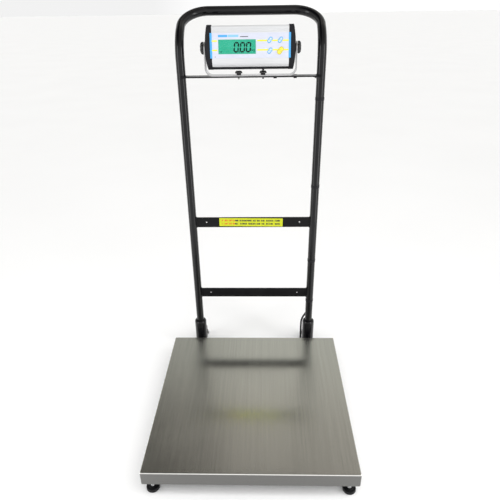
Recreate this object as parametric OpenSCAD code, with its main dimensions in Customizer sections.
// Portable animal weighing scale: a square lift-off steel pan over a low frame with a load cell,
// a bent tube handle standing in two rear sockets, and a tilting indicator in a U yoke.
// Millimetres. Floor at z = 0, +Y towards the handle, centred on x = 0.

/* [Platform] */
// Side of the square weighing pan
pan_side = 500; // [300:10:800]
// Height of the weighing surface above the floor
pan_height = 75; // [60:1:120]
// Depth of the folded skirt
skirt_depth = 38; // [25:1:60]
// Pan sheet thickness
pan_sheet = 1.2; // [0.8:0.1:3]
// Outer radius of the folded edges
pan_edge_r = 3; // [2:0.5:6]

/* [Base frame] */
// Width and height of the square base rails
rail_size = 20; // [15:1:30]
// Wall of the base rails
rail_wall = 1.5; // [1:0.1:3]
// Gap from the pan's edge to the rails
rail_inset = 26; // [20:1:40]
// Height of the rails' underside above the floor
rail_z = 14; // [12:1:25]
// Thickness of the corner lugs that carry the feet
lug_thick = 5; // [3:0.5:8]
// Side of each corner lug
lug_side = 42; // [36:1:50]

/* [Feet] */
// Distance from the pan's edge to each foot
foot_inset = 20; // [16:1:40]
// Foot pad radius
foot_r = 15.5; // [10:0.5:25]
// Foot pad height
foot_h = 10; // [6:0.5:16]
// Foot stud radius
stud_r = 5; // [3:0.5:8]
// Width across the flats of the lock nuts
nut_flats = 17; // [13:1:24]
// Lock nut thickness
nut_h = 6; // [4:0.5:10]

/* [Load cell] */
// Load cell bar length
cell_length = 130; // [100:5:150]
// Load cell bar width
cell_width = 30; // [20:1:40]
// Load cell bar height
cell_height = 22; // [20:1:40]
// Thickness of the plate under the cell
cell_plate = 8; // [5:1:12]
// Thickness of each spacer above and below the cell
cell_spacer = 4; // [2:0.5:6]
// Height of the beams that carry the pan
beam_height = 12; // [8:1:20]

/* [Handle] */
// Tube radius
tube_r = 11; // [8:0.5:16]
// Tube wall
tube_wall = 1.5; // [1:0.1:3]
// Distance from the centre plane to each upright
upright_x = 172.5; // [120:0.5:240]
// Distance from the pan's back edge to the uprights' axis
upright_gap = 41.7; // [30:0.1:60]
// Height where the uprights start to lean back
lean_z = 884; // [600:1:1000]
// Bend radius of the backward lean
lean_r = 75; // [40:1:120]
// Angle of the backward lean
lean_angle = 60; // [0:1:75]
// Height of the hand grip's axis
grip_z = 987.7; // [800:0.1:1100]
// Corner radius of the hand grip
grip_r = 65; // [40:1:100]
// Height of the flat bars
bar_height = 30; // [20:1:50]
// Thickness of the flat bars and of the shelf
bar_thick = 3; // [2:0.5:6]
// Centre heights of the lower and the upper bar
bar_z = [217, 453]; // [100:1:800]
// Distance from the centre plane to each small hole in the bars
bar_hole_x = 133; // [50:1:150]
// Radius of the small holes in the bars
bar_hole_r = 2; // [1:0.5:5]
// Height of the shelf's top face
shelf_z = 846; // [600:1:950]

/* [Sockets and wheels] */
// Socket radius
socket_r = 18; // [14:0.5:25]
// Height of the socket's top
socket_top = 116; // [80:1:200]
// Height of the socket's lower end
socket_z = 12; // [5:1:30]
// Radius of the socket's shoulder
shoulder_r = 7; // [2:0.5:7]
// Transport wheel radius
wheel_r = 25; // [15:1:50]
// Transport wheel width
wheel_width = 20; // [12:1:40]
// Height of the wheel clear of the floor when the scale stands level
wheel_lift = 4; // [1:1:15]
// Axle radius
axle_r = 4; // [3:0.5:6]
// Thickness of the wheel fork's cheeks
cheek = 3; // [2:0.5:5]

/* [Indicator] */
// Length of the extruded housing between its end caps
housing_length = 183; // [120:1:260]
// Width over the domed end caps
caps_width = 215; // [150:1:300]
// Height of the end caps
cap_height = 97; // [60:1:140]
// Depth of the end caps
cap_depth = 46; // [30:1:80]
// Amount the end caps stand proud of the housing
cap_proud = 2; // [0:0.5:5]
// Housing wall
housing_wall = 2.5; // [1.5:0.5:4]
// Backward tilt of the indicator
tilt = 10; // [0:1:25]
// Height of the tilt axis
pivot_z = 909; // [700:1:1000]
// Keypad panel width
panel_width = 191; // [120:1:260]
// Keypad panel lower and upper edge, measured from the tilt axis
panel_v = [-25.2, 29.9]; // [-60:0.1:60]
// Keypad panel thickness
panel_thick = 0.4; // [0.2:0.1:1]
// Display left and right edge
display_x = [-75.7, 13.1]; // [-120:0.1:120]
// Display lower and upper edge
display_v = [-16.1, 15.6]; // [-40:0.1:40]
// Key columns
key_x = [46.4, 71]; // [0:0.1:120]
// Key rows
key_v = [-9.5, 13.7]; // [-40:0.1:40]
// Key length and width
key_size = [15, 8.6]; // [5:0.1:30]
// Power key length and width
power_size = [19, 11]; // [5:0.1:30]
// Slope of the keys
key_slope = 52; // [0:1:90]
// Key travel
key_travel = 0.5; // [0.2:0.1:2]

/* [Yoke and knobs] */
// Outer width of the yoke
yoke_width = 224; // [160:1:320]
// Depth of the yoke's strip
yoke_depth = 28; // [15:1:40]
// Thickness of the yoke's strip
yoke_thick = 2.5; // [1.5:0.5:4]
// Inner corner radius of the yoke
yoke_corner = 16; // [5:1:30]
// Radius of the cable hole in the yoke's base
yoke_hole_r = 2.5; // [1:0.5:5]
// Distance from the centre plane to the cable hole
yoke_hole_x = 79; // [40:1:100]
// Side knob radius
side_knob_r = 15; // [10:0.5:25]
// Outermost width over the side knobs
knobs_width = 242; // [180:1:340]
// Thumb screw cap radius
thumb_r = 9.3; // [6:0.1:15]
// Thumb screw height above the yoke
thumb_h = 9.3; // [6:0.1:15]
// Distance from the centre plane to each thumb screw
thumb_x = 30; // [15:1:80]

/* [Cable] */
// Cable radius
cable_r = 3; // [1.5:0.5:5]
// Tightest bend radius of the cable
cable_bend = 20; // [12:1:40]
// Distance from the centre plane to the cable beside the socket
cable_x = 151.4; // [100:0.1:200]
// Distance from the centre plane to the lead behind the indicator
lead_x = 30; // [0:1:100]

/* [Which sub-part] */

/* [Hidden] */

$fn = 72;

touch = 0.05;        // running clearance of a turning part
slack = 0.15;        // clearance of a fastener or key in its hole
through = 1;         // overshoot of every cutting tool
lap = 0.8;           // overlap of a straight run onto the next bend
bend_thinning = 0.08; // how far a bend's radius is under the straight's

// plan positions
lean_rise = lean_r * sin(lean_angle);
lean_back = lean_r * (1 - cos(lean_angle));
lean_straight = (grip_z - lean_z - lean_rise) / cos(lean_angle);
depth_total = pan_side + upright_gap + lean_back + lean_straight * sin(lean_angle) + tube_r;
pan_front = -depth_total / 2;
pan_back = pan_front + pan_side;
pan_mid = (pan_front + pan_back) / 2;
upright_y = pan_back + upright_gap;
pivot = [0, upright_y, pivot_z];

// base frame
rail_out = pan_side / 2 - rail_inset;
rail_in = rail_out - rail_size;
rail_top = rail_z + rail_size;
foot_at = pan_side / 2 - foot_inset;
lug_top = rail_top + lug_thick;
lug_shift = 5;
stud_z = 3;
stud_reach = 8;
stud_top = lug_top + nut_h + stud_reach;
pan_underside = pan_height - pan_sheet;

// load cell stack
cell_plate_lift = 6;
cell_plate_z = rail_z + cell_plate_lift;
cell_plate_depth = 90;
spacer_length = 40;
cell_z = cell_plate_z + cell_plate + cell_spacer;
cell_top = cell_z + cell_height;
beam_z = cell_top + cell_spacer;
top_plate_thick = 5;
top_plate_size = [300, 100];
beam_width = 20;
beam_length = 400;
bumper_r = 9;
bumper_at = [top_plate_size[0] / 2 + beam_width / 2, beam_length / 2 - 12];
bolt_r = 3;
bolt_head = [5, 4];
bolt_at = [32, 56];
bore_r = 7;
bore_at = 11;

// sockets and wheels
tube_foot = 30;
socket_screw_z = 75;
arm_size = [24, 14];
arm_z = 16;
axle_z = wheel_lift + wheel_r;
axle_y = upright_y + socket_r + wheel_r + 4;
fork_gap = wheel_width + 2;
cheek_height = 20;
axle_head = [5.5, 3.5];
hub_r = 17;
hub_bore = axle_r + touch;

// label on the upper bar
label_size = [181, 0.3, 25];
label_x = -5.5;
label_turn = 0.6;

// indicator, measured from its tilt axis: u forwards is negative, v is up
face_u = -cap_depth / 2;
back_u = cap_depth / 2 - cap_proud;
half_v = cap_height / 2 - cap_proud;
low_front_r = 20;
low_back_r = 18;
high_front_r = 6;
high_back_r = 5;
cap_thick = (caps_width - housing_length) / 2;
cap_dome_r = 237;
groove_r = 1;
groove_v = [32.5, 35.5, 38.5];
trim_v = -half_v + 2.5;
display_thick = 1.5;
window_recess = 0.1;
key_floor = 0.2;
key_depth = 1.8;
key_proud = 0.5;
board_size = [1.6, 66];
board_u = -8;

// yoke and knobs
arm_face = yoke_width / 2;
yoke_inner = arm_face - yoke_thick;
yoke_top = shelf_z + yoke_thick;
knob_bolt_r = 2.5;
knob_insert = 9;
thumb_neck_r = 5.5;
thumb_shank_end = shelf_z - bar_thick - 5.5;

// cable route
cable_gap = 0.3;
cable_y = upright_y + bar_height / 2 + cable_r + cable_gap;
gland_z = rail_z + rail_size / 2;
cable_drop = cell_z + cell_height / 2 - gland_z;
drop_r = 30;
drop_turn = 40;
drop_from = pan_mid + 70;
sway_r = 60;
sway_turn = 30;
sway_from = 88;
shelf_run_z = shelf_z - bar_thick - 1;
lead_bend = 12;
lead_link = 4;
lead_v = -13;
gland_reach = 8;
lead_exit_y = upright_y + back_u * cos(tilt) + lead_v * sin(tilt);
lead_exit_z = pivot_z + lead_v * cos(tilt) - back_u * sin(tilt);
lead_gap_y = cable_y + lead_bend + lead_link - lead_exit_y;
lead_gap_z = lead_exit_z - shelf_run_z;
lead_loop_r = (lead_gap_z * cos(tilt) - lead_gap_y * sin(tilt)) / (1 + cos(tilt));
lead_start = (lead_gap_y + lead_loop_r * sin(tilt)) / cos(tilt);
tube_clip_z = [190, 330, 560, 790];
shelf_clip_x = [60, 110];
clip_length = 8;
tube_clip_wall = 1.6;
shelf_clip_wall = 1.2;
strap_grip = 2;
clip_tongue = 9;

// steps of an S bend that shifts a run sideways, and the length it takes
function s_link(shift, r, turn) = (shift - 2 * r * (1 - cos(turn))) / sin(turn);
function s_length(shift, r, turn) = 2 * r * sin(turn) + s_link(shift, r, turn) * cos(turn);
function s_bend(shift, r, turn, heading) =
    [[r, turn, heading], [s_link(shift, r, turn)], [r, turn, heading + 180]];

// points of an arc
function arc(u, v, r, from, to, steps = 14) =
    [for (i = [0:steps]) let (a = from + (to - from) * i / steps) [u + r * cos(a), v + r * sin(a)]];

// side outline of the housing, grown outwards everywhere but at the front by "grow"
function outline(grow, front = 0) = concat(
    arc(face_u - front + low_front_r + grow, -half_v + low_front_r, low_front_r + grow, 180, 270),
    arc(back_u - low_back_r, -half_v + low_back_r, low_back_r + grow, 270, 360),
    arc(back_u - high_back_r, half_v - high_back_r, high_back_r + grow, 0, 90),
    arc(face_u - front + high_front_r + grow, half_v - high_front_r, high_front_r + grow, 90, 180));

// a round bar or tube core that starts at the origin along +Z and follows its steps:
// [length] runs straight on, [radius, angle, heading] bends towards that heading.
// A bend is drawn a hair thinner, and the straights lap over its ends.
module run(steps, r, i = 0) {
    if (i < len(steps) && len(steps[i]) == 1) {
        before = i > 0 ? lap : 0;
        after = i < len(steps) - 1 ? lap : 0;
        translate([0, 0, -before]) cylinder(r = r, h = steps[i][0] + before + after);
        translate([0, 0, steps[i][0]]) run(steps, r, i + 1);
    }
    if (i < len(steps) && len(steps[i]) == 3) {
        bend = steps[i][0];
        turn = steps[i][1];
        rotate([0, 0, steps[i][2]]) {
            translate([bend, 0, 0])
                rotate([90, 0, 180])
                    rotate_extrude(angle = turn) translate([bend, 0]) circle(r - bend_thinning);
            translate([bend * (1 - cos(turn)), 0, bend * sin(turn)])
                rotate([0, turn, 0])
                    rotate([0, 0, -steps[i][2]]) run(steps, r, i + 1);
        }
    }
}

// upright block with every vertical edge and the top edges rounded
module soft_block(x, y, h, r) {
    for (grow = [[0, 0, r], [r, 0, 0], [0, r, 0]])
        translate([-x / 2 + r - grow[0], -y / 2 + r - grow[1], 0])
            cube([x - 2 * r + 2 * grow[0], y - 2 * r + 2 * grow[1], h - r + grow[2]]);
    for (sx = [-1, 1], sy = [-1, 1])
        translate([sx * (x / 2 - r), sy * (y / 2 - r), 0]) {
            cylinder(r = r, h = h - r);
            translate([0, 0, h - r]) sphere(r);
        }
    for (s = [-1, 1]) {
        translate([-x / 2 + r, s * (y / 2 - r), h - r])
            rotate([0, 90, 0]) cylinder(r = r, h = x - 2 * r);
        translate([s * (x / 2 - r), -y / 2 + r, h - r])
            rotate([-90, 0, 0]) cylinder(r = r, h = y - 2 * r);
    }
}

// rod along X, centred on the origin
module rod_x(r, length) {
    rotate([0, 90, 0]) cylinder(r = r, h = length, center = true);
}

// copies mirrored to both sides of the centre plane
module both_sides() {
    for (s = [-1, 1]) scale([s, 1, 1]) children();
}

// the four corners of the platform
module at_corners(distance) {
    for (sx = [-1, 1], sy = [-1, 1]) at_corner(distance, sx, sy) children();
}

// one corner of the platform: sx is -1 at the left, sy is -1 at the front
module at_corner(distance, sx, sy) {
    translate([sx * distance, pan_mid + sy * distance, 0]) children();
}

// hexagonal nut blank
module hexagon(flats, h) {
    cylinder(r = flats / sqrt(3), h = h, $fn = 6);
}

// -------- platform --------

module pan() {
    color("silver")
        translate([0, pan_mid, pan_height - skirt_depth])
            difference() {
                soft_block(pan_side, pan_side, skirt_depth, pan_edge_r);
                translate([0, 0, -through])
                    soft_block(pan_side - 2 * pan_sheet, pan_side - 2 * pan_sheet,
                               skirt_depth - pan_sheet + through, pan_edge_r - pan_sheet);
            }
}

module pan_bumpers() {
    color("dimgray")
        for (sx = [-1, 1], sy = [-1, 1])
            translate([sx * bumper_at[0], pan_mid + sy * bumper_at[1], beam_z + beam_height])
                cylinder(r = bumper_r, h = pan_underside - beam_z - beam_height);
}

// square tube along Y
module rail(length) {
    difference() {
        translate([0, -length / 2, 0]) cube([rail_size, length, rail_size]);
        translate([rail_wall, -length / 2 - through, rail_wall])
            cube([rail_size - 2 * rail_wall, length + 2 * through, rail_size - 2 * rail_wall]);
    }
}

module base_side_rails() {
    color("dimgray")
        both_sides()
            translate([rail_in, pan_mid, rail_z]) rail(2 * rail_out);
}

module base_front_rail() {
    color("dimgray")
        translate([0, pan_mid - rail_out, rail_z])
            rotate([0, 0, -90]) translate([-rail_size, 0, 0]) rail(2 * rail_in);
}

module base_rear_rail() {
    color("dimgray")
        difference() {
            translate([0, pan_mid + rail_in, rail_z])
                rotate([0, 0, -90]) translate([-rail_size, 0, 0]) rail(2 * rail_in);
            translate([cable_x, pan_mid + rail_in - through, gland_z])
                rotate([-90, 0, 0]) cylinder(r = cable_r + 3, h = rail_size + 2 * through);
        }
}

module foot_lugs() {
    color("dimgray")
        for (sx = [-1, 1], sy = [-1, 1])
            translate([sx * foot_at, pan_mid + sy * foot_at, rail_top])
                difference() {
                    translate([-sx * lug_shift, -sy * lug_shift, lug_thick / 2])
                        cube([lug_side, lug_side, lug_thick], center = true);
                    translate([0, 0, -through])
                        cylinder(r = stud_r + touch, h = lug_thick + 2 * through);
                }
}

module foot_lock_nuts() {
    color("silver")
        at_corners(foot_at)
            translate([0, 0, lug_top])
                difference() {
                    hexagon(nut_flats, nut_h);
                    translate([0, 0, -through]) cylinder(r = stud_r + touch, h = nut_h + 2 * through);
                }
}

// rubber foot with a bevelled rim, standing on the floor at the origin
module foot_pad() {
    color("black")
        rotate_extrude()
            polygon([[0, 0], [foot_r - 1, 0], [foot_r, 1], [foot_r, foot_h - 2.5],
                     [foot_r - 1.5, foot_h - 1], [stud_r + 4, foot_h - 1], [stud_r + 3, foot_h],
                     [stud_r, foot_h], [stud_r, stud_z], [0, stud_z]]);
}

module foot_stud() {
    color("silver")
        translate([0, 0, stud_z]) cylinder(r = stud_r, h = stud_top - stud_z);
}

module foot_pad_front_left() {
    at_corner(foot_at, -1, -1) foot_pad();
}

module foot_pad_front_right() {
    at_corner(foot_at, 1, -1) foot_pad();
}

module foot_pad_rear_left() {
    at_corner(foot_at, -1, 1) foot_pad();
}

module foot_pad_rear_right() {
    at_corner(foot_at, 1, 1) foot_pad();
}

module foot_stud_front_left() {
    at_corner(foot_at, -1, -1) foot_stud();
}

module foot_stud_front_right() {
    at_corner(foot_at, 1, -1) foot_stud();
}

module foot_stud_rear_left() {
    at_corner(foot_at, -1, 1) foot_stud();
}

module foot_stud_rear_right() {
    at_corner(foot_at, 1, 1) foot_stud();
}

// -------- load cell --------

// bolt holes of the fixed end, at +X, or of the loaded end, at -X
module bolt_holes(side, z, h, r = bolt_r + touch) {
    for (x = bolt_at)
        translate([side * x, pan_mid, z]) cylinder(r = r, h = h);
}

module cell_base_plate() {
    color("dimgray")
        difference() {
            translate([-rail_in, pan_mid - cell_plate_depth / 2, cell_plate_z])
                cube([2 * rail_in, cell_plate_depth, cell_plate]);
            bolt_holes(1, cell_plate_z - through, cell_plate + 2 * through);
        }
}

module cell_spacers() {
    color("silver")
        for (side = [-1, 1])
            difference() {
                translate([side * (cell_length - spacer_length) / 2, pan_mid,
                           side > 0 ? cell_z - cell_spacer / 2 : cell_top + cell_spacer / 2])
                    cube([spacer_length, cell_width, cell_spacer], center = true);
                bolt_holes(side, cell_z - cell_spacer - through,
                           cell_height + 2 * cell_spacer + 2 * through);
            }
}

module load_cell() {
    color("lightgray")
        difference() {
            translate([-cell_length / 2, pan_mid - cell_width / 2, cell_z])
                cube([cell_length, cell_width, cell_height]);
            for (x = [-bore_at, bore_at])
                translate([x, pan_mid, cell_z + cell_height / 2])
                    rotate([90, 0, 0]) cylinder(r = bore_r, h = cell_width + 2 * through, center = true);
            translate([0, pan_mid, cell_z + cell_height / 2])
                cube([2 * bore_at, cell_width + 2 * through, 3], center = true);
            bolt_holes(1, cell_z - through, cell_height / 2 + through);
            bolt_holes(-1, cell_z + cell_height / 2, cell_height / 2 + through);
        }
}

module cell_bolts() {
    color("silver") {
        bolt_holes(1, cell_plate_z - bolt_head[1], bolt_head[1], bolt_head[0]);
        bolt_holes(1, cell_plate_z - through, cell_plate + cell_spacer + 9, bolt_r);
        bolt_holes(-1, beam_z + top_plate_thick, bolt_head[1], bolt_head[0]);
        bolt_holes(-1, cell_top - 8, cell_spacer + top_plate_thick + 9, bolt_r);
    }
}

module top_plate() {
    color("dimgray")
        difference() {
            translate([-top_plate_size[0] / 2, pan_mid - top_plate_size[1] / 2, beam_z])
                cube([top_plate_size[0], top_plate_size[1], top_plate_thick]);
            bolt_holes(-1, beam_z - through, top_plate_thick + 2 * through);
        }
}

module top_beam_right() {
    color("dimgray")
        translate([top_plate_size[0] / 2, pan_mid - beam_length / 2, beam_z])
            cube([beam_width, beam_length, beam_height]);
}

module top_beam_left() {
    mirror([1, 0, 0]) top_beam_right();
}

// -------- sockets and wheels --------

module socket_arms() {
    color("black")
        both_sides()
            difference() {
                translate([upright_x - arm_size[0] / 2, pan_mid + rail_out, arm_z])
                    cube([arm_size[0], upright_y - pan_mid - rail_out, arm_size[1]]);
                translate([upright_x, upright_y, 0]) cylinder(r = socket_r, h = socket_top);
            }
}

module sockets() {
    color("black")
        both_sides()
            translate([upright_x, upright_y, socket_z])
                difference() {
                    rotate_extrude() {
                        square([socket_r, socket_top - socket_z - shoulder_r]);
                        square([socket_r - shoulder_r, socket_top - socket_z]);
                        intersection() {
                            translate([socket_r - shoulder_r, socket_top - socket_z - shoulder_r])
                                circle(shoulder_r);
                            square([socket_r, socket_top]);
                        }
                    }
                    translate([0, 0, tube_foot - socket_z]) cylinder(r = tube_r + touch, h = socket_top);
                    translate([0, 0, socket_screw_z - socket_z])
                        rotate([-90, 0, 0]) cylinder(r = bolt_r + touch, h = socket_r + through);
                }
}

module socket_screws() {
    color("silver")
        both_sides()
            translate([upright_x, upright_y + tube_r + touch, socket_screw_z])
                rotate([-90, 0, 0]) {
                    cylinder(r = bolt_r, h = socket_r - tube_r + 2);
                    translate([0, 0, socket_r - tube_r]) cylinder(r = bolt_head[0], h = 3);
                }
}

module wheel_forks() {
    color("black")
        both_sides()
            difference() {
                for (s = [-1, 1])
                    translate([upright_x + s * (fork_gap + cheek) / 2, 0, axle_z]) {
                        translate([-cheek / 2, upright_y, -cheek_height / 2])
                            cube([cheek, axle_y - upright_y, cheek_height]);
                        translate([0, axle_y, 0]) rod_x(cheek_height / 2, cheek);
                    }
                translate([upright_x, upright_y, 0]) cylinder(r = socket_r, h = socket_top);
                translate([upright_x, axle_y, axle_z]) rod_x(axle_r + touch, fork_gap + 4 * cheek);
            }
}

module axles() {
    color("silver")
        both_sides()
            translate([upright_x, axle_y, axle_z]) {
                rod_x(axle_r, fork_gap + 2 * cheek + axle_head[1]);
                for (s = [-1, 1])
                    translate([s * (fork_gap / 2 + cheek + axle_head[1] / 2), 0, 0])
                        rod_x(axle_head[0], axle_head[1]);
            }
}

module wheel_hub() {
    color("dimgray")
        translate([0, axle_y, axle_z])
            rotate([0, 90, 0])
                rotate_extrude()
                    difference() {
                        translate([hub_bore, -wheel_width / 2]) square([hub_r - hub_bore, wheel_width]);
                        for (s = [-1, 1])
                            translate([(hub_bore + hub_r) / 2 + 0.5, s * wheel_width / 2])
                                square([hub_r - hub_bore - 7, 6], center = true);
                    }
}

module wheel_tyre() {
    color("black")
        translate([0, axle_y, axle_z])
            rotate([0, 90, 0])
                rotate_extrude() {
                    translate([hub_r, -wheel_width / 2]) square([wheel_r - hub_r - 3, wheel_width]);
                    translate([hub_r, -wheel_width / 2 + 3]) square([wheel_r - hub_r, wheel_width - 6]);
                    for (s = [-1, 1])
                        translate([wheel_r - 3, s * (wheel_width / 2 - 3)]) circle(3);
                }
}

module wheel_hub_left() {
    translate([-upright_x, 0, 0]) wheel_hub();
}

module wheel_hub_right() {
    translate([upright_x, 0, 0]) wheel_hub();
}

module wheel_tyre_left() {
    translate([-upright_x, 0, 0]) wheel_tyre();
}

module wheel_tyre_right() {
    translate([upright_x, 0, 0]) wheel_tyre();
}

// -------- handle --------

module handle_path(r, extra = 0) {
    upright = lean_z - tube_foot + extra;
    neck = lean_straight - grip_r;
    steps = [[upright], [lean_r, lean_angle, 90], [neck], [grip_r, 90, 0], [2 * (upright_x - grip_r)],
             [grip_r, 90, 0], [neck], [lean_r, lean_angle, 90], [upright]];
    translate([-upright_x, upright_y, tube_foot - extra]) run(steps, r);
}

module handle_tube() {
    color("black")
        difference() {
            handle_path(tube_r);
            handle_path(tube_r - tube_wall, through);
        }
}

// the two uprights as solid rods, to fit the bars' ends to them
module upright_rods() {
    both_sides() translate([upright_x, upright_y, 0]) cylinder(r = tube_r, h = lean_z);
}

module flat_bar(z) {
    color("black")
        difference() {
            translate([0, upright_y, z]) cube([2 * upright_x, bar_thick, bar_height], center = true);
            upright_rods();
            for (s = [-1, 1])
                translate([s * bar_hole_x, upright_y, z])
                    rotate([90, 0, 0])
                        cylinder(r = bar_hole_r, h = bar_thick + 2 * through, center = true);
        }
}

module lower_bar() {
    flat_bar(bar_z[0]);
}

module upper_bar() {
    flat_bar(bar_z[1]);
}

module bar_label() {
    color("gold")
        translate([label_x, upright_y - (bar_thick + label_size[1]) / 2, bar_z[1]])
            rotate([0, label_turn, 0]) cube(label_size, center = true);
}

module shelf() {
    color("black")
        difference() {
            translate([0, upright_y, shelf_z - bar_thick / 2])
                cube([2 * upright_x, bar_height, bar_thick], center = true);
            upright_rods();
            for (s = [-1, 1])
                translate([s * thumb_x, upright_y, shelf_z - bar_thick - through])
                    cylinder(r = knob_bolt_r + touch, h = bar_thick + 2 * through);
        }
}

// -------- yoke and knobs --------

module yoke() {
    outer_r = yoke_corner + yoke_thick;
    color("silver")
        translate([0, upright_y, 0])
            difference() {
                union() {
                    translate([-arm_face + outer_r, -yoke_depth / 2, shelf_z])
                        cube([2 * (arm_face - outer_r), yoke_depth, yoke_thick]);
                    both_sides() {
                        translate([arm_face - outer_r, 0, shelf_z + outer_r])
                            rotate([90, 0, 0])
                                rotate([0, 0, -90])
                                    rotate_extrude(angle = 90)
                                        translate([yoke_corner, -yoke_depth / 2])
                                            square([yoke_thick, yoke_depth]);
                        translate([yoke_inner, -yoke_depth / 2, shelf_z + outer_r])
                            cube([yoke_thick, yoke_depth, pivot_z - shelf_z - outer_r]);
                        translate([yoke_inner + yoke_thick / 2, 0, pivot_z])
                            rod_x(yoke_depth / 2, yoke_thick);
                    }
                }
                translate([0, 0, pivot_z]) rod_x(knob_bolt_r + slack, yoke_width + 2 * through);
                for (x = [-thumb_x, thumb_x])
                    translate([x, 0, shelf_z - through])
                        cylinder(r = knob_bolt_r + slack, h = yoke_thick + 2 * through);
                translate([yoke_hole_x, 0, shelf_z - through])
                    cylinder(r = yoke_hole_r, h = yoke_thick + 2 * through);
            }
}

// fluted black cap on a threaded shank that runs down through the yoke and the shelf
module thumb_screw(x) {
    translate([x, upright_y, 0]) {
        color("black")
            difference() {
                translate([0, 0, yoke_top])
                    rotate_extrude() {
                        translate([0, touch]) square([thumb_neck_r, thumb_h / 2]);
                        intersection() {
                            translate([0, thumb_h - 10.6]) circle(10.6);
                            translate([0, 2.6]) square([thumb_r, thumb_h]);
                        }
                    }
                for (a = [0:45:315])
                    rotate([0, 0, a])
                        translate([thumb_r + 1, 0, yoke_top + 2]) cylinder(r = 2, h = thumb_h, $fn = 24);
            }
        color("silver")
            translate([0, 0, thumb_shank_end])
                cylinder(r = knob_bolt_r, h = yoke_top + 2 - thumb_shank_end);
    }
}

module thumb_screw_left() {
    thumb_screw(-thumb_x);
}

module thumb_screw_right() {
    thumb_screw(thumb_x);
}

// lobed clamp knob with its bolt reaching into the end cap
module side_knob() {
    grip = knobs_width / 2 - arm_face - 1.5;
    color("black")
        translate([arm_face, upright_y, pivot_z])
            rotate([0, 90, 0])
                difference() {
                    union() {
                        translate([0, 0, touch]) cylinder(r = 8, h = 3);
                        translate([0, 0, 1.5])
                            rotate_extrude() {
                                square([side_knob_r - 2, grip]);
                                translate([0, 2]) square([side_knob_r, grip - 4]);
                                for (v = [2, grip - 2])
                                    translate([side_knob_r - 2, v]) circle(2);
                            }
                    }
                    for (a = [0:60:300])
                        rotate([0, 0, a])
                            translate([side_knob_r + 3.5, 0, -through])
                                cylinder(r = 6, h = grip + 4, $fn = 36);
                }
    color("silver")
        translate([arm_face - yoke_thick / 2 - knob_insert / 2 + 1, upright_y, pivot_z])
            rod_x(knob_bolt_r, yoke_thick + knob_insert + 2);
}

module side_knob_right() {
    side_knob();
}

module side_knob_left() {
    mirror([1, 0, 0]) side_knob();
}

module pivot_washers() {
    color("black")
        both_sides()
            translate([(caps_width / 2 + yoke_inner) / 2, upright_y, pivot_z])
                difference() {
                    rod_x(9, yoke_inner - caps_width / 2);
                    rod_x(knob_bolt_r + slack, yoke_thick + 2 * through);
                }
}

// -------- indicator --------

// everything on the indicator is drawn about the tilt axis, facing -Y
module on_indicator() {
    translate(pivot) rotate([-tilt, 0, 0]) children();
}

// side outline drawn along X
module along_x(length, points) {
    translate([-length / 2, 0, 0]) rotate([90, 0, 90]) linear_extrude(height = length) polygon(points);
}

// round-ended key blank, normal to the face, from depth "back" behind it to "front" before it
module key_blank(at, size, grow, back, front) {
    translate([at[0], face_u + back, at[1]])
        rotate([90, 0, 0])
            rotate([0, 0, key_slope])
                linear_extrude(height = back + front) {
                    square([size[0] - size[1], size[1] + 2 * grow], center = true);
                    for (s = [-1, 1])
                        translate([s * (size[0] - size[1]) / 2, 0]) circle(size[1] / 2 + grow);
                }
}

// all key openings through the panel and into the housing face
module key_openings() {
    key_blank([key_x[0], key_v[1]], key_size, slack, key_depth, through);
    key_blank([key_x[1], key_v[1]], key_size, slack, key_depth, through);
    key_blank([key_x[0], key_v[0]], key_size, slack, key_depth, through);
    key_blank([key_x[1], key_v[0]], power_size, slack, key_depth, through);
}

module display_opening(back, front) {
    translate([display_x[0], face_u - front, display_v[0]])
        cube([display_x[1] - display_x[0], back + front, display_v[1] - display_v[0]]);
}

module housing() {
    color("gainsboro")
        on_indicator()
            difference() {
                along_x(housing_length, outline(0));
                along_x(housing_length + 2 * through, outline(-housing_wall, -housing_wall));
                for (v = groove_v)
                    translate([0, face_u - groove_r / 2, v])
                        rod_x(groove_r, housing_length + 2 * through);
                display_opening(display_thick, through);
                key_openings();
                translate([lead_x, 0, lead_v])
                    rotate([-90, 0, 0]) cylinder(r = cable_r + slack, h = cap_depth);
            }
}

module end_cap() {
    color("black")
        on_indicator()
            difference() {
                intersection() {
                    translate([(housing_length + cap_thick) / 2, 0, 0])
                        along_x(cap_thick, outline(cap_proud));
                    translate([caps_width / 2 - cap_dome_r, 0, 0])
                        rotate([90, 0, 0])
                            cylinder(r = cap_dome_r, h = 2 * cap_depth, center = true, $fn = 360);
                }
                translate([caps_width / 2 - knob_insert, 0, 0])
                    rotate([0, 90, 0]) cylinder(r = knob_bolt_r + touch, h = knob_insert + through);
            }
}

module end_cap_right() {
    end_cap();
}

module end_cap_left() {
    mirror([1, 0, 0]) end_cap();
}

module housing_trim() {
    color("black")
        on_indicator()
            difference() {
                along_x(housing_length, outline(cap_proud - 0.5));
                along_x(housing_length + 2 * through, outline(0));
                translate([0, 0, trim_v + cap_height / 2])
                    cube([housing_length + 2 * through, 2 * cap_depth, cap_height], center = true);
            }
}

module keypad_panel() {
    color("lavender")
        on_indicator()
            difference() {
                translate([-panel_width / 2, face_u - panel_thick, panel_v[0]])
                    cube([panel_width, panel_thick, panel_v[1] - panel_v[0]]);
                display_opening(through, through);
                key_openings();
            }
}

module display_panel() {
    color("mediumseagreen") on_indicator() display_opening(display_thick, 0);
}

module display_window() {
    color("white") on_indicator() display_opening(0, panel_thick - window_recess);
}

module circuit_board() {
    color("darkgreen")
        on_indicator()
            translate([0, board_u, 0])
                cube([housing_length, board_size[0], board_size[1]], center = true);
}

module key(column, row, size) {
    color(size == power_size ? "gold" : "deepskyblue")
        on_indicator()
            key_blank([key_x[column], key_v[row]], size, 0,
                      key_depth - key_travel - key_floor, panel_thick + key_proud);
}

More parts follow.
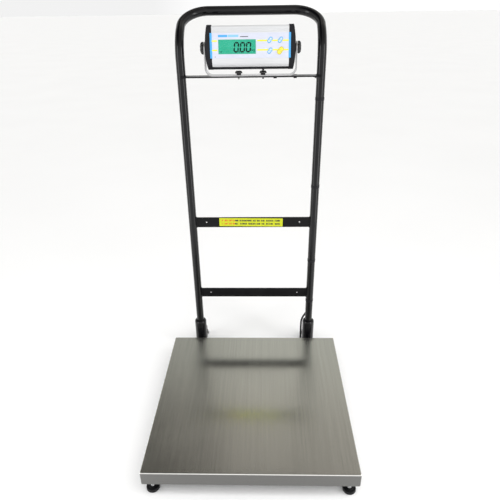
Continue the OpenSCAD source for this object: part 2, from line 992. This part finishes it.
module key_upper_left() { key(0, 1, key_size); }
module key_upper_right() { key(1, 1, key_size); }
module key_lower_left() { key(0, 0, key_size); }
module key_power() { key(1, 0, power_size); }

// -------- cable --------

// strain relief standing on a face at the origin, along +Z, with the cable's bore
module gland(tail = 0) {
    difference() {
        union() {
            hexagon(14, 4);
            cylinder(r = cable_r + 2, h = gland_reach);
            translate([0, 0, -tail]) cylinder(r = cable_r + 3, h = tail + 1);
        }
        translate([0, 0, -tail - through])
            cylinder(r = cable_r + touch, h = tail + gland_reach + 2 * through);
    }
}

module indicator_gland() {
    color("black")
        on_indicator() translate([lead_x, back_u, lead_v]) rotate([-90, 0, 0]) gland();
}

module base_gland() {
    color("black")
        translate([cable_x, pan_mid + rail_out, gland_z]) rotate([-90, 0, 0]) gland(rail_size);
}

module load_cell_cable() {
    drop_to = drop_from + s_length(cable_drop, drop_r, drop_turn);
    sway = upright_x - cable_x;
    sway_to = sway_from + s_length(sway, sway_r, sway_turn);
    color("black")
        translate([cell_length / 2, pan_mid, cell_z + cell_height / 2])
            rotate([0, 90, 0])
                run(concat(
                        [[cable_x - cell_length / 2 - cable_bend], [cable_bend, 90, 90],
                         [drop_from - pan_mid - cable_bend]],
                        s_bend(cable_drop, drop_r, drop_turn, 0),
                        [[cable_y - cable_bend - drop_to], [cable_bend, 90, 180],
                         [sway_from - gland_z - cable_bend]],
                        s_bend(sway, sway_r, sway_turn, 270),
                        [[shelf_run_z - cable_bend - sway_to], [cable_bend, 90, 90],
                         [upright_x - cable_bend - lead_x - lead_bend]]), cable_r);
}

module indicator_lead() {
    color("black")
        on_indicator()
            translate([lead_x, back_u, lead_v])
                rotate([-90, 0, 0])
                    run([[lead_start], [lead_loop_r, 180 - tilt, 90], [lead_link], [lead_bend, 90, 0]],
                        cable_r);
}

// clip that carries the cable behind an upright, centred on the cable
module tube_clip() {
    to_tube = upright_y - cable_y;
    difference() {
        union() {
            cylinder(r = cable_r + tube_clip_wall, h = clip_length, center = true);
            translate([-cable_r, to_tube + tube_r - strap_grip, -clip_length / 2])
                cube([2 * cable_r, strap_grip - tube_r - to_tube, clip_length]);
            translate([0, to_tube, 0])
                cylinder(r = tube_r + shelf_clip_wall, h = clip_length, center = true);
        }
        cylinder(r = cable_r + touch, h = clip_length + 2 * through, center = true);
        translate([0, to_tube, 0])
            cylinder(r = tube_r + touch, h = clip_length + 2 * through, center = true);
    }
}

module tube_clips() {
    color("black")
        for (z = tube_clip_z) translate([upright_x, cable_y, z]) tube_clip();
}

// clip that hangs the cable behind the shelf's rear edge
module shelf_clips() {
    sleeve_r = cable_r + shelf_clip_wall;
    shelf_underside = shelf_z - bar_thick - shelf_run_z;
    color("black")
        for (x = shelf_clip_x)
            translate([x, cable_y, shelf_run_z])
                difference() {
                    union() {
                        rod_x(sleeve_r, clip_length);
                        translate([-clip_length / 2, -clip_tongue, -sleeve_r])
                            cube([clip_length, clip_tongue, shelf_underside + sleeve_r]);
                    }
                    rod_x(cable_r + touch, clip_length + 2 * through);
                    translate([-clip_length / 2 - through, -clip_tongue - 2 * cable_r, shelf_underside])
                        cube([clip_length + 2 * through, clip_tongue + cable_r, clip_tongue]);
                }
}

pan();
base_side_rails();
base_front_rail();
base_rear_rail();
foot_lugs();
foot_lock_nuts();
cell_base_plate();
cell_spacers();
load_cell();
cell_bolts();
top_plate();
top_beam_left();
top_beam_right();
pan_bumpers();
foot_pad_front_left();
foot_stud_front_left();
foot_pad_front_right();
foot_stud_front_right();
foot_pad_rear_left();
foot_stud_rear_left();
foot_pad_rear_right();
foot_stud_rear_right();
socket_arms();
sockets();
socket_screws();
wheel_forks();
axles();
wheel_hub_left();
wheel_tyre_left();
wheel_hub_right();
wheel_tyre_right();
handle_tube();
lower_bar();
upper_bar();
bar_label();
shelf();
yoke();
thumb_screw_left();
thumb_screw_right();
side_knob_left();
side_knob_right();
pivot_washers();
housing();
end_cap_left();
end_cap_right();
housing_trim();
keypad_panel();
display_panel();
display_window();
circuit_board();
key_upper_left();
key_upper_right();
key_lower_left();
key_power();
indicator_gland();
base_gland();
load_cell_cable();
indicator_lead();
tube_clips();
shelf_clips();
